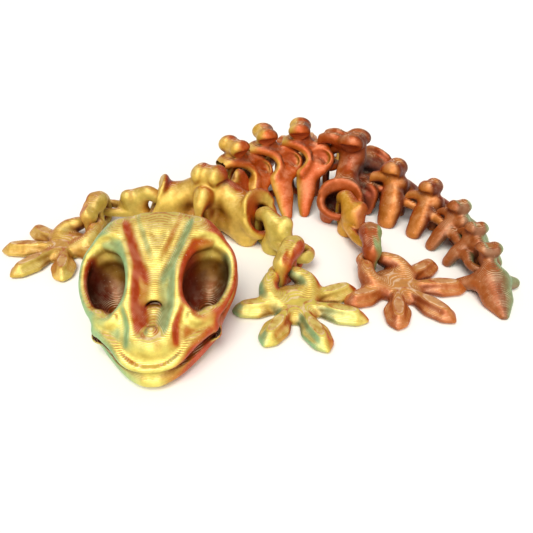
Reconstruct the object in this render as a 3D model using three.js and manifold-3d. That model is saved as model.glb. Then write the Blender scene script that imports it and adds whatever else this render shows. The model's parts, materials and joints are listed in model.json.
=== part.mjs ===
// A jointed gecko skeleton toy, 3-D printed in one go with its links already threaded.
// Millimetres, +Z up. The toy lies on its flat printed base at z = 0, its head towards -Y
// and its tail sweeping round to +X. Every printed link is one closed solid.
import * as THREE from 'three';
import { mergeVertices } from 'three/addons/utils/BufferGeometryUtils.js';
import Module from 'manifold-3d';

const wasm = await Module();
wasm.setup();

// Driving dimensions of the print
const BAR = 1.55;           // radius of the bars that make loops and rings
const LINK_REACH = 3.9;     // from a link's axis to the middle of the bar that goes round it
const SKULL_LENGTH = 56;
const FOOT_REACH = 24;      // from the middle of a foot to a toe tip
const TOE_ANGLES = [-94, -48, 0, 48, 94];
const HEEL_TO_HUB = 13.5;
const RING_LEVEL = 6;       // height of the limbs' and feet's level rings
const FINE = 8;             // sides of a thick body
const COARSE = 6;           // sides of a bar

// Pose: where the chain starts, then each link's heading in degrees and its pitch,
// which is the distance from its front axis to the axis of the link behind it.
const SKULL_SNOUT = new THREE.Vector2(-32.2, 109.1);
const SKULL_HEADING = 93;
const SHOULDER_FRONT = new THREE.Vector2(-26.8, 193.3);
const SPINE = [
  { name: 'shoulder_girdle', heading: 71, pitch: 33, height: 29.5, knobAt: 12, socketAt: 9, bar: 15 },
  { name: 'trunk_1', heading: 40, pitch: 16.5, height: 32.5, span: 21, bar: 16 },
  { name: 'trunk_2', heading: 14, pitch: 16, height: 34.5, span: 26.5, bar: 17 },
  { name: 'trunk_3', heading: -6, pitch: 16.5, height: 36, span: 24.5, bar: 16 },
  { name: 'hip_girdle', heading: -30, pitch: 28, height: 33.5, knobAt: 12.5, socketAt: 16, bar: 11.5 },
  { name: 'tail_1', heading: -40, pitch: 18, height: 26.5, span: 18, bar: 8.5 },
  { name: 'tail_2', heading: -56, pitch: 16.5, height: 22.5, span: 17, bar: 7.4 },
  { name: 'tail_3', heading: -78, pitch: 15, height: 20, span: 16.5, bar: 6.2 },
  { name: 'tail_4', heading: -90, pitch: 13.5, height: 18, span: 13.8, bar: 5 },
  { name: 'tail_tip', heading: -89, pitch: 0 },
];
const LIMBS = {
  left_front: { heading: -50, upper: 24.5, fore: -117, lower: 15.5, foot: -72 },
  right_front: { heading: 170, upper: 24.5, fore: -103, lower: 15.5, foot: -123 },
  left_hind: { heading: -71, upper: 24.5, fore: -93, lower: 16.5, foot: -54 },
  right_hind: { heading: 108, upper: 24.5, fore: 146, lower: 16.5, foot: 135 },
};
const SOCKET_REACH = 22;    // from the spine to a limb's axis in its socket

const V = (x, y, z) => new THREE.Vector3(x, y, z);

// Solids from geometry
function solid(geometry) {
  for (const name of Object.keys(geometry.attributes)) {
    if (name !== 'position') geometry.deleteAttribute(name);
  }
  const merged = mergeVertices(geometry, 1e-4);
  return new wasm.Manifold(new wasm.Mesh({
    numProp: 3,
    vertProperties: new Float32Array(merged.attributes.position.array),
    triVerts: new Uint32Array(merged.index.array),
  }));
}

const join = (...solids) => solids.flat().reduce((whole, piece) => whole.add(piece));

// A round-ended rod along a smooth curve. The radius follows the list of radii, and a
// flat rod is thinner by that factor across the direction in which it is wide.
function rod(points, radii, { flat = 1, wide = null, sides = COARSE, steps = 2, caps = 1 } = {}) {
  const curve = new THREE.CatmullRomCurve3(points, false, 'centripetal');
  const geometry = new THREE.CapsuleGeometry(1, 2, caps, sides, steps);
  const place = geometry.attributes.position;
  const across = wide || V(0, 1, 0);
  for (let i = 0; i < place.count; i += 1) {
    const height = place.getY(i);
    const t = THREE.MathUtils.clamp((height + 1) / 2, 0, 1);
    const beyond = height - THREE.MathUtils.clamp(height, -1, 1);
    const at = t * (radii.length - 1);
    const low = Math.min(Math.floor(at), radii.length - 2);
    const radius = THREE.MathUtils.lerp(radii[low], radii[low + 1], at - low);
    const centre = curve.getPoint(t);
    const along = curve.getTangent(t);
    const side = across.clone().addScaledVector(along, -across.dot(along)).normalize();
    const thin = new THREE.Vector3().crossVectors(side, along);
    centre.addScaledVector(side, radius * place.getX(i));
    centre.addScaledVector(thin, radius * flat * place.getZ(i));
    centre.addScaledVector(along, radius * Math.min(1, flat + 0.2) * beyond);
    place.setXYZ(i, centre.x, centre.y, centre.z);
  }
  return solid(geometry);
}

function ball(centre, radii, around = 7, down = 4, tilt = 0) {
  const geometry = new THREE.SphereGeometry(1, around, down);
  geometry.rotateX(Math.PI / 2);
  geometry.scale(...radii);
  geometry.rotateX(THREE.MathUtils.degToRad(tilt));
  geometry.translate(...centre);
  return solid(geometry);
}

function box(size, centre, tilt = 0) {
  const geometry = new THREE.BoxGeometry(...size);
  geometry.rotateX(THREE.MathUtils.degToRad(tilt));
  geometry.translate(...centre);
  return solid(geometry);
}

// The printed base is flat: whatever hangs below the print bed is cut away.
const onBed = (whole) => whole.subtract(box([200, 200, 40], [0, 0, -20]));
const bothSides = (make) => [-1, 1].map(make);

// Parts shared by the links
// The upright loop at the front of a link: its front leg stands on the link's axis.
function frontLoop(top, length, radius = BAR) {
  const drop = Math.min(3.4, top * 0.2);
  return rod([
    V(length, 0, top - drop * 0.6),
    V(length * 0.6, 0, top),
    V(length * 0.22, 0, top - drop * 0.45),
    V(0, 0, top - drop * 1.5),
    V(0, 0, 3.2),
    V(length * 0.3, 0, radius - 0.2),
    V(length, 0, radius + 0.1),
  ], [radius * 1.3, radius * 1.1, radius, BAR, BAR, BAR, BAR], { steps: 6 });
}

// A level ring, half round about the axis of the link that hangs in it. The root is where
// its arms start, and toward says on which side of the axis the round half lies.
function levelRing({ start, axis = 0, height, root = height, spread = LINK_REACH, toward = 1 }) {
  const bow = LINK_REACH * Math.SQRT1_2;
  const at = (x, y) => V(axis + toward * x, y, height);
  return rod([
    V(start, -spread, root),
    at(0, -LINK_REACH),
    at(bow, -bow),
    at(LINK_REACH, 0),
    at(bow, bow),
    at(0, LINK_REACH),
    V(start, spread, root),
  ], [BAR * 1.3, BAR, BAR, BAR, BAR, BAR, BAR * 1.3], { steps: 6, wide: V(0, 0, 1) });
}

// The crest on top of a link: two pads side by side on one stem.
function crest(x, top, apart, [long, half, high], foot) {
  return join(
    bothSides((side) => ball([x, side * apart, top - high], [long, half, high], 7, 4, side * 14)),
    rod([V(x, 0, top - high * 1.5), V(x + 1.4, 0, foot)], [long * 0.72, long * 0.7], { steps: 1 }),
  );
}

// Vertebrae
function trunkLink({ height, span, pitch, bar }) {
  const plates = bothSides((side) => rod([
    V(11, side * 1.5, height - 13),
    V(14.2, side * 8.6, height - 12.5),
    V(12.4, side * span * 0.62, height * 0.46),
    V(10, side * span * 0.8, height * 0.25),
    V(8.5, side * (span - 1.6), 2),
  ], [2.8, 5, 4.8, 3.4, 2.3], { flat: 0.5, wide: V(1, 0, 0.1), steps: 4 }));
  return onBed(join(
    frontLoop(height - 10.5, 10.5, 1.7),
    rod([V(11, 0, 1.5), V(11, 0, height - 13)], [2.6, 3.2], { sides: COARSE, steps: 1 }),
    crest(4.5, height, 4.2, [4.9, 2.9, 3.3], height - 10),
    levelRing({ start: 13, axis: pitch, height: bar, root: height - 14, spread: 5 }),
    plates,
  ));
}

function tailLink({ height, span, pitch, bar }) {
  const size = height / 26;
  const body = 8.6;
  const ribs = bothSides((side) => rod([
    V(body + 0.2, side, height * 0.5),
    V(body + 0.4, side * span * 0.5, height * 0.3),
    V(body - 0.2, side * (span - 2.8 * size), 2.4 * size + 0.3),
  ], [3.2, 4.4 * size, 3.2 * size], { flat: 0.8, wide: V(1, 0, 0), steps: 3 }));
  return onBed(join(
    frontLoop(Math.max(height - 9.5, height * 0.58), 8),
    rod([V(body, 0, 1.5), V(body - 1, 0, height * 0.6)], [2.4, 2.9], { steps: 1 }),
    crest(3.9, height, 2.5, [3.4, 2.4, 2.5], height - 8),
    levelRing({ start: body + 1, axis: pitch, height: bar, root: bar + 1 }),
    ribs,
  ));
}

function tailTip() {
  return onBed(join(
    frontLoop(9.6, 7.4, 1.5),
    crest(3.6, 16, 2.5, [3.2, 2.4, 2.4], 8.5),
    rod([V(8.2, 0, 9.4), V(12, 0, 6), V(18, 0, 2.6), V(25.4, 0, 0.8)], [2.4, 5.6, 5.6, 2],
      { sides: FINE, steps: 4 }),
    bothSides((side) => rod([V(10.2, side * 2, 5), V(8, side * 9.8, 2.2)], [3.6, 2.1])),
  ));
}

// Girdles
// A limb socket: a cup that opens outwards and up, with a round rim. The limb hangs on the
// lowest part of the rim, which stands clear of the print bed.
const RIM = { radius: 8.2, tilt: 52, height: 11.6 };
const RIM_MIDDLE = SOCKET_REACH + LINK_REACH - RIM.radius * Math.cos(THREE.MathUtils.degToRad(RIM.tilt));

function socketCup(x, side) {
  const ring = new THREE.TorusGeometry(RIM.radius, BAR, 5, 10);
  ring.rotateX(THREE.MathUtils.degToRad(-side * RIM.tilt));
  ring.translate(x, side * RIM_MIDDLE, RIM.height);
  const cup = ball([x, side * (RIM_MIDDLE - 2), RIM.height + 0.5], [9.4, 8.6, 9.2], 7, 5)
    .subtract(ball([x, side * RIM_MIDDLE, RIM.height - 1], [7.2, 8.8, 7.8], 7, 5))
    .subtract(box([40, 40, 20], [
      x,
      side * (RIM_MIDDLE + 10 * Math.sin(THREE.MathUtils.degToRad(RIM.tilt))),
      RIM.height + 10 * Math.cos(THREE.MathUtils.degToRad(RIM.tilt)),
    ], -side * RIM.tilt))
    .subtract(box([9, 12, 16], [x, side * (SOCKET_REACH + 3.2), 0]));
  return cup.add(solid(ring));
}

function girdle({ pitch, height, knobAt, socketAt, bar }) {
  const sides = bothSides((side) => [
    rod([V(knobAt, side, height * 0.62), V(socketAt, side * 11.5, 15)], [5.6, 5],
      { flat: 0.7, wide: V(1, 0, 0), steps: 1 }),
    rod([V(knobAt + 1, side * 2, height * 0.3), V(socketAt, side * 11.5, 7)], [5, 4.5],
      { wide: V(1, 0, 0), steps: 1 }),
    socketCup(socketAt, side),
    rod([V(knobAt + 5, side * 3, height * 0.5), V(pitch - 5.5, side * 6.2, bar + 1.5), V(pitch, side * 6.6, bar)],
      [5, 4.4, 2.8], { flat: 0.5, wide: V(0, 0, 1), steps: 2 }),
  ]);
  return onBed(join(
    frontLoop(height - 10, knobAt - 2.4),
    rod([V(knobAt, 0, 1.6), V(knobAt, 0, height - 9)], [3.4, 4], { steps: 1 }),
    rod([V(knobAt, 0, height * 0.6), V(knobAt + 8, 0, height * 0.48)], [4.4, 3.4], { steps: 1 }),
    crest(knobAt - 0.5, height, 4.2, [4.4, 2.9, 3.3], height - 10),
    levelRing({ start: knobAt + 7, axis: pitch, height: bar }),
    sides.flat(),
  ));
}

function neckLink(pitch) {
  return onBed(join(
    frontLoop(13, 9),
    rod([V(10.5, 0, 1.6), V(11, 0, 15)], [3, 3.4], { sides: FINE, steps: 1 }),
    rod([V(12, 0, 12), V(18, 0, 12)], [4, 3.4], { sides: FINE, steps: 1 }),
    levelRing({ start: 16, axis: pitch, height: 12 }),
    bothSides((side) => rod([V(12, 0, 14), V(13, side * 7, 18)], [3.4, 2.9])),
  ));
}

// Limbs
function upperLimb(length) {
  return onBed(join(
    frontLoop(14.5, 9, 1.8),
    rod([V(9.4, 0, 11.5), V(12.5, 0, 10), V(16.5, 0, 7)], [3.2, 4.4, 3.4], { sides: FINE }),
    rod([V(10.4, 0, 8), V(10, 0, 2.6)], [3, 3.9], { steps: 1 }),
    ball([12.5, 1.5, 13.6], [2.6, 2.4, 2.6]),
    levelRing({ start: 15, axis: length, height: RING_LEVEL }),
  ));
}

function lowerLimb(length) {
  const top = 12.4;
  const middle = length / 2;
  return onBed(join(
    frontLoop(top, middle),
    rod([V(middle, 0, 1.8), V(middle, 0, 8.6), V(middle, 0, top)], [1.8, 1.8, 3.2]),
    rod([
      V(middle, 0, top), V(length * 0.76, 0, top - 0.6), V(length, 0, top - 3.8),
      V(length, 0, 3.4), V(length * 0.85, 0, BAR - 0.1), V(middle, 0, BAR),
    ], [2.6, 1.9, BAR, BAR, BAR, 1.8], { steps: 5 }),
    ball([middle - 2.4, 0, top + 1], [4, 4.2, 3.2]),
  ));
}

function foot() {
  const toes = TOE_ANGLES.map((angle) => {
    const turn = THREE.MathUtils.degToRad(angle);
    const at = (reach, z) => V(HEEL_TO_HUB + reach * Math.cos(turn), reach * Math.sin(turn), z);
    const across = V(-Math.sin(turn), Math.cos(turn), 0);
    return rod([at(3, 2.6), at(10, 2.6), at(17, 2.4), at(FOOT_REACH - 1.4, 1.4)], [2.6, 3.4, 4.2, 1.3],
      { flat: 0.75, wide: across, steps: 3 });
  });
  const heel = levelRing({ start: 4, height: RING_LEVEL, toward: -1 });
  const posts = bothSides((side) => rod([V(10.4, side * 4.4, 3.2), V(3.4, side * 5.8, 6.4)], [3.4, 3], { steps: 1 }));
  return onBed(join(ball([HEEL_TO_HUB, 0, 2], [6.6, 6, 3.8], 8, 4), heel, posts, toes));
}

// Skull
// Stations from snout to crown: place, half width, top and underside.
const STATIONS = [
  [0, 0.4, 3.6, 3], [0.03, 5, 7.5, 0], [0.1, 9.8, 12.5, -1.5], [0.35, 20.5, 19.5, -1.5],
  [0.52, 24.6, 25, -1.5], [0.68, 26, 29, -1.5], [0.84, 23.5, 31.5, -1.5],
  [0.95, 16, 29.5, 4], [1, 0.4, 20, 19.6],
];

function station(along) {
  const next = Math.max(1, STATIONS.findIndex((stop) => stop[0] >= along));
  const [a, b] = [STATIONS[next - 1], STATIONS[next]];
  const t = (along - a[0]) / (b[0] - a[0]);
  return a.map((value, i) => THREE.MathUtils.lerp(value, b[i], t));
}

function skullBody() {
  const geometry = new THREE.SphereGeometry(1, 20, 16);
  geometry.rotateZ(Math.PI / 2);
  const place = geometry.attributes.position;
  for (let i = 0; i < place.count; i += 1) {
    const [along, half, top, under] = station(THREE.MathUtils.clamp((1 + place.getX(i)) / 2, 0, 1));
    const ring = Math.hypot(place.getY(i), place.getZ(i)) || 1;
    const y = half * (place.getY(i) / ring);
    const z = (top + under) / 2 + ((top - under) / 2) * (place.getZ(i) / ring);
    place.setXYZ(i, along * SKULL_LENGTH, y, z);
  }
  return solid(geometry);
}

function skull() {
  const sockets = bothSides((side) => ball([32, side * 17, 22], [12.4, 9, 10.5], 12, 8));
  const back = SKULL_LENGTH;
  return onBed(join(
    skullBody().subtract(join(sockets)),
    levelRing({ start: back - 10, axis: back, height: RING_LEVEL }),
  ));
}

// Assembly
const gold = new THREE.MeshStandardMaterial({ color: 0xc9a94a, roughness: 0.35, metalness: 0.1 });
const copper = new THREE.MeshStandardMaterial({ color: 0xb5683c, roughness: 0.35, metalness: 0.1 });
const gecko = new THREE.Group();

function put(name, whole, at, heading, material) {
  const mesh = whole.getMesh();
  const geometry = new THREE.BufferGeometry();
  geometry.setAttribute('position', new THREE.BufferAttribute(mesh.vertProperties, 3));
  geometry.setIndex(new THREE.BufferAttribute(mesh.triVerts, 1));
  const link = new THREE.Mesh(geometry, material);
  link.name = name;
  link.position.set(at.x, at.y, 0);
  link.rotation.z = THREE.MathUtils.degToRad(heading);
  gecko.add(link);
}

const step = (from, heading, distance, aside = 0) => {
  const turn = THREE.MathUtils.degToRad(heading);
  return new THREE.Vector2(
    from.x + distance * Math.cos(turn) - aside * Math.sin(turn),
    from.y + distance * Math.sin(turn) + aside * Math.cos(turn),
  );
};

// Head and neck: the neck's heading and pitch follow from the two axes that it joins.
const neckFront = step(SKULL_SNOUT, SKULL_HEADING, SKULL_LENGTH);
const neckRun = SHOULDER_FRONT.clone().sub(neckFront);
put('skull', skull(), SKULL_SNOUT, SKULL_HEADING, gold);
put('neck', neckLink(neckRun.length()), neckFront, THREE.MathUtils.radToDeg(neckRun.angle()), copper);

const MAKERS = { trunk: trunkLink, tail: tailLink, shoulder: girdle, hip: girdle };
const limbAxes = {};
let front = SHOULDER_FRONT.clone();
for (const link of SPINE) {
  const make = link.pitch === 0 ? tailTip : MAKERS[link.name.split('_')[0]];
  put(link.name, make(link), front, link.heading, link.name === 'shoulder_girdle' ? gold : copper);
  if (make === girdle) {
    const row = link.name === 'shoulder_girdle' ? 'front' : 'hind';
    limbAxes[`left_${row}`] = step(front, link.heading, link.socketAt, -SOCKET_REACH);
    limbAxes[`right_${row}`] = step(front, link.heading, link.socketAt, SOCKET_REACH);
  }
  front = step(front, link.heading, link.pitch);
}

for (const [limb, pose] of Object.entries(LIMBS)) {
  const [side, row] = limb.split('_');
  const names = row === 'front' ? ['humerus', 'forearm', 'forefoot'] : ['femur', 'shin', 'hindfoot'];
  const material = row === 'front' ? gold : copper;
  const elbow = step(limbAxes[limb], pose.heading, pose.upper);
  const heel = step(elbow, pose.fore, pose.lower);
  put(`${side}_${names[0]}`, upperLimb(pose.upper), limbAxes[limb], pose.heading, material);
  put(`${side}_${names[1]}`, lowerLimb(pose.lower), elbow, pose.fore, material);
  put(`${side}_${names[2]}`, foot(), heel, pose.foot, material);
}

// The origin is the middle of the whole toy, on the print bed.
const middle = new THREE.Box3().setFromObject(gecko, true).getCenter(V());
for (const link of gecko.children) {
  link.position.x -= middle.x;
  link.position.y -= middle.y;
}

export default gecko;
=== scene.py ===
"""A 3-D printed, jointed gecko skeleton toy in silk gold and copper filament.

Each printed link is modelled in clay first: rods, pads and hollows are blended in a block of
space, and its skin becomes the mesh. Lengths are in millimetres in the clay and in metres in
the scene.
"""

import json
import math

import bpy
import numpy as np
from mathutils import Euler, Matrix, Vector


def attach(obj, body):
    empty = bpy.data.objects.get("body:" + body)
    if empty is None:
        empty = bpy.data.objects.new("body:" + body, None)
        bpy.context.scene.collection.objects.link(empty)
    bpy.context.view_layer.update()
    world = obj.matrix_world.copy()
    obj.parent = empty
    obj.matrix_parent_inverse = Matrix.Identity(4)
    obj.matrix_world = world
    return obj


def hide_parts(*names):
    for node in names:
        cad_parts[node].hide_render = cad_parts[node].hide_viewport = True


bl_info = {
    "name": "Jointed gecko skeleton",
    "version": (1, 0, 0),
    "blender": (4, 5, 0),
    "location": "View3D > Sidebar > Gecko",
    "description": "Builds a printed, jointed gecko skeleton round its packed frame",
    "category": "Object",
}

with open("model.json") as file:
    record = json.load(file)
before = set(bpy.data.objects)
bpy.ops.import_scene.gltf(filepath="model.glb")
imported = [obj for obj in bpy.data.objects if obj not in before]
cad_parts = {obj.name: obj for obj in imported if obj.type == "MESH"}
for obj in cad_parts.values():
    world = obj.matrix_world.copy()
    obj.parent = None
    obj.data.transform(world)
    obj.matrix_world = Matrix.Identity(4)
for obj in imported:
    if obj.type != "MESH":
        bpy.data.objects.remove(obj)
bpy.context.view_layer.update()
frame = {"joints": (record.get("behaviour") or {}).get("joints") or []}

MM = 0.001
FLOOR_PATCH = 6.0           # metres, far wider than the view

# Sizes that the links share
BAR = 1.6                   # radius of the bars that make loops and rings
LINK_REACH = 3.9            # from a link's axis to the middle of the bar round it
RING_LEVEL = 6.0            # height of the level rings of limbs and feet
SOCKET_REACH = 22.0         # from the spine to a limb's axis
SKULL_LENGTH = 56.0
HEEL_TO_HUB = 13.5
TOES = ((-101, 21.6), (-46, 23), (4, 24.8), (54, 25.4), (97, 24.6))    # degrees and reach from the hub

# Pose: each link's heading in degrees, and the distance to the axis of the link behind it
SKULL_SNOUT = (-32.2, 109.1)
SKULL_HEADING = 93.0
SHOULDER_FRONT = (-26.8, 193.3)
SPINE = {
    "shoulder_girdle": {"heading": 71, "pitch": 33, "height": 29.5, "knob": 12, "socket": 9, "bar": 15},
    "trunk_1": {"heading": 40, "pitch": 16.5, "height": 32.5, "span": 21, "bar": 16},
    "trunk_2": {"heading": 14, "pitch": 16, "height": 34.5, "span": 26.5, "bar": 17},
    "trunk_3": {"heading": -6, "pitch": 16.5, "height": 36, "span": 24.5, "bar": 16},
    "hip_girdle": {"heading": -30, "pitch": 28, "height": 33.5, "knob": 12.5, "socket": 16, "bar": 11.5},
    "tail_1": {"heading": -40, "pitch": 18, "height": 26.5, "span": 18, "bar": 8.5},
    "tail_2": {"heading": -56, "pitch": 16.5, "height": 22.5, "span": 17, "bar": 7.4},
    "tail_3": {"heading": -78, "pitch": 15, "height": 20, "span": 16.5, "bar": 6.2},
    "tail_4": {"heading": -90, "pitch": 13.5, "height": 18, "span": 13.8, "bar": 5},
    "tail_tip": {"heading": -89, "pitch": 0},
}
LIMBS = {
    "left_front": {"heading": -50, "upper": 24.5, "fore": -117, "lower": 15.5, "foot": -72},
    "right_front": {"heading": 170, "upper": 24.5, "fore": -103, "lower": 15.5, "foot": -123},
    "left_hind": {"heading": -71, "upper": 24.5, "fore": -93, "lower": 16.5, "foot": -54},
    "right_hind": {"heading": 108, "upper": 24.5, "fore": 146, "lower": 16.5, "foot": 135},
}


def turned(heading):
    """The unit direction of a heading in degrees."""
    angle = math.radians(heading)
    return np.array([math.cos(angle), math.sin(angle)])


def step(start, heading, distance, aside=0.0):
    """The point reached from start along a heading, and then to its left-hand side."""
    along = turned(heading)
    return np.array(start) + distance * along + aside * np.array([-along[1], along[0]])


def places():
    """Every link's front axis and heading, before the model is centred."""
    found = {"skull": (np.array(SKULL_SNOUT), SKULL_HEADING)}
    neck = step(SKULL_SNOUT, SKULL_HEADING, SKULL_LENGTH)
    run = np.array(SHOULDER_FRONT) - neck
    found["neck"] = (neck, math.degrees(math.atan2(run[1], run[0])))
    front = np.array(SHOULDER_FRONT)
    hips = {}
    for name, link in SPINE.items():
        found[name] = (front, link["heading"])
        if "socket" in link:
            row = "front" if name == "shoulder_girdle" else "hind"
            hips["left_" + row] = step(front, link["heading"], link["socket"], -SOCKET_REACH)
            hips["right_" + row] = step(front, link["heading"], link["socket"], SOCKET_REACH)
        front = step(front, link["heading"], link["pitch"])
    for limb, pose in LIMBS.items():
        side, row = limb.split("_")
        bones = ("humerus", "forearm", "forefoot") if row == "front" else ("femur", "shin", "hindfoot")
        elbow = step(hips[limb], pose["heading"], pose["upper"])
        heel = step(elbow, pose["fore"], pose["lower"])
        found[f"{side}_{bones[0]}"] = (hips[limb], pose["heading"])
        found[f"{side}_{bones[1]}"] = (elbow, pose["fore"])
        found[f"{side}_{bones[2]}"] = (heel, pose["foot"])
    return found


PLACES = places()
# The frame is centred on the model, so one joint's place gives the shift between the two.
FIRST_JOINT = next(joint for joint in frame["joints"] if joint["child"] == "trunk_1")
SHIFT = np.array(FIRST_JOINT["pos_m"][:2]) / MM - PLACES["trunk_2"][0]


def blended(a, b, width):
    """The lower of two depths, rounded where they meet."""
    gap = np.clip(width - np.abs(a - b), 0, None) / width
    return np.minimum(a, b) - gap * gap * width / 4


def smooth_path(points, count):
    """Points evenly placed along a smooth curve through the given ones, and their places on it."""
    points = np.array(points, float)
    if len(points) == 2:
        t = np.linspace(0, 1, max(2, count))
        return points[0] + t[:, None] * (points[1] - points[0]), t
    ends = np.vstack([2 * points[0] - points[1], points, 2 * points[-1] - points[-2]])
    path, at = [], []
    for i in range(1, len(ends) - 2):
        p0, p1, p2, p3 = ends[i - 1], ends[i], ends[i + 1], ends[i + 2]
        knots = [0.0]
        for a, b in ((p0, p1), (p1, p2), (p2, p3)):
            knots.append(knots[-1] + max(np.linalg.norm(b - a) ** 0.5, 1e-3))
        t0, t1, t2, t3 = knots
        steps = max(2, int(math.ceil(count / (len(points) - 1))))
        for t in np.linspace(t1, t2, steps, endpoint=i == len(ends) - 3):
            a1 = (t1 - t) / (t1 - t0) * p0 + (t - t0) / (t1 - t0) * p1
            a2 = (t2 - t) / (t2 - t1) * p1 + (t - t1) / (t2 - t1) * p2
            a3 = (t3 - t) / (t3 - t2) * p2 + (t - t2) / (t3 - t2) * p3
            b1 = (t2 - t) / (t2 - t0) * a1 + (t - t0) / (t2 - t0) * a2
            b2 = (t3 - t) / (t3 - t1) * a2 + (t - t1) / (t3 - t1) * a3
            path.append((t2 - t) / (t2 - t1) * b1 + (t - t1) / (t2 - t1) * b2)
            at.append((i - 1 + (t - t1) / (t2 - t1)) / (len(points) - 1))
    return np.array(path), np.array(at)


class Clay:
    """A block of space round one printed link. It holds how far each point is from the skin."""

    FAR = 9.0

    def __init__(self, low, high, cell):
        self.cell = cell
        low, high = np.array(low, float), np.array(high, float)
        counts = np.ceil((high - low) / cell).astype(int) + 1
        self.lines = [low[i] + cell * np.arange(counts[i]) for i in range(3)]
        self.depth = np.full(counts, self.FAR, np.float32)

    def window(self, low, high):
        """The part of the block between two corners."""
        spans = []
        for line, a, b in zip(self.lines, low, high):
            first = int(np.clip(np.searchsorted(line, a), 0, len(line)))
            last = int(np.clip(np.searchsorted(line, b), 0, len(line)))
            spans.append(slice(first, last))
        return tuple(spans)

    def merge(self, part, spans, blend, cut):
        """Adds a form to the clay, or cuts it away, with a rounded join."""
        here = self.depth[spans]
        if cut:
            self.depth[spans] = -blended(-here, part[spans], blend)
        else:
            self.depth[spans] = blended(here, part[spans], blend)

    def rod(self, points, radii, flat=1.0, wide=(0, 1, 0), blend=1.2, cut=False):
        """A round-ended rod along a smooth curve. A flat one is thinner across its wide side."""
        points = np.array(points, float)
        length = np.linalg.norm(np.diff(points, axis=0), axis=1).sum()
        path, at = smooth_path(points, int(length / 1.1) + 2)
        sizes = np.interp(at * (len(radii) - 1), np.arange(len(radii)), radii)
        part = np.full_like(self.depth, self.FAR)
        wide = np.array(wide, float)
        for a, b, ra, rb in zip(path[:-1], path[1:], sizes[:-1], sizes[1:]):
            reach = max(ra, rb) + blend + 2 * self.cell
            spans = self.window(np.minimum(a, b) - reach, np.maximum(a, b) + reach)
            if any(s.start >= s.stop for s in spans):
                continue
            x, y, z = np.ix_(*[line[s] for line, s in zip(self.lines, spans)])
            run = b - a
            size = max(np.linalg.norm(run), 1e-6)
            along = run / size
            side = wide - wide.dot(along) * along
            side /= max(np.linalg.norm(side), 1e-6)
            thin = np.cross(side, along)
            x, y, z = x - a[0], y - a[1], z - a[2]
            out = x * along[0] + y * along[1] + z * along[2]
            t = np.clip(out / size, 0, 1)
            radius = ra + (rb - ra) * t
            ahead = out - t * size
            across = x * side[0] + y * side[1] + z * side[2]
            up = x * thin[0] + y * thin[1] + z * thin[2]
            if flat == 1.0:
                distance = np.sqrt(ahead ** 2 + across ** 2 + up ** 2) - radius
            else:
                first = np.sqrt(ahead ** 2 + across ** 2 + (up / flat) ** 2) / radius
                second = np.sqrt(ahead ** 2 + across ** 2 + (up / flat ** 2) ** 2) / radius ** 2
                distance = first * (first - 1) / np.maximum(second, 1e-4)
            part[spans] = np.minimum(part[spans], distance)
        reach = max(radii) + blend + 2 * self.cell
        spans = self.window(path.min(0) - reach, path.max(0) + reach)
        self.merge(part, spans, blend, cut)

    def ball(self, centre, radii, tilt=(0, 0, 0), blend=1.2, cut=False):
        """An egg shape, turned by tilt in degrees."""
        centre, radii = np.array(centre, float), np.array(radii, float)
        reach = radii.max() + blend + 2 * self.cell
        spans = self.window(centre - reach, centre + reach)
        x, y, z = np.ix_(*[line[s] for line, s in zip(self.lines, spans)])
        turn = np.array(Euler([math.radians(v) for v in tilt]).to_matrix()).T
        x, y, z = x - centre[0], y - centre[1], z - centre[2]
        local = [turn[i, 0] * x + turn[i, 1] * y + turn[i, 2] * z for i in range(3)]
        first = np.sqrt(sum((v / r) ** 2 for v, r in zip(local, radii)))
        second = np.sqrt(sum((v / r ** 2) ** 2 for v, r in zip(local, radii)))
        part = np.full_like(self.depth, self.FAR)
        part[spans] = first * (first - 1) / np.maximum(second, 1e-4)
        self.merge(part, spans, blend, cut)

    def egg(self, centre, radii, along, up, blend=1.2, cut=False):
        """An egg shape on both sides: its length lies along one direction and its depth towards another."""
        centre, radii = np.array(centre, float), np.array(radii, float)
        for side in (-1, 1):
            flip = np.array([1, side, 1])
            first = np.array(along, float) * flip
            third = np.array(up, float) * flip
            first /= np.linalg.norm(first)
            third -= third.dot(first) * first
            third /= np.linalg.norm(third)
            middle = centre * flip
            reach = radii.max() + blend + 2 * self.cell
            spans = self.window(middle - reach, middle + reach)
            x, y, z = np.ix_(*[line[s] for line, s in zip(self.lines, spans)])
            x, y, z = x - middle[0], y - middle[1], z - middle[2]
            local = [x * a[0] + y * a[1] + z * a[2] for a in (first, np.cross(third, first), third)]
            near = np.sqrt(sum((v / r) ** 2 for v, r in zip(local, radii)))
            far = np.sqrt(sum((v / r ** 2) ** 2 for v, r in zip(local, radii)))
            part = np.full_like(self.depth, self.FAR)
            part[spans] = near * (near - 1) / np.maximum(far, 1e-4)
            self.merge(part, spans, blend, cut)

    def both(self, points, radii, **settings):
        """The same rod on both sides."""
        for side in (-1, 1):
            mirrored = [(x, side * y, z) for x, y, z in points]
            self.rod(mirrored, radii, **settings)

    def across(self, points, radii, **settings):
        """One rod that runs from one side round the middle to the other."""
        other = [(x, -y, z) for x, y, z in points[-2::-1]]
        self.rod(list(points) + other, list(radii) + list(radii[-2::-1]), **settings)

    def pads(self, centre, radii, tilt=(0, 0, 0), **settings):
        """The same egg shape on both sides."""
        for side in (-1, 1):
            x, y, z = centre
            turn = (side * tilt[0], tilt[1], side * tilt[2])
            self.ball((x, side * y, z), radii, turn, **settings)

    def on_bed(self, edge=0.6):
        """The flat printed base, with its slightly rounded edge."""
        z = self.lines[2][None, None, :]
        self.depth = -blended(-self.depth, z + 0 * self.depth, edge)

    def planed(self, top, edge=0.5):
        """Levels off whatever stands higher than this."""
        z = self.lines[2][None, None, :]
        self.depth = -blended(-self.depth, top - z + 0 * self.depth, edge)

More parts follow.
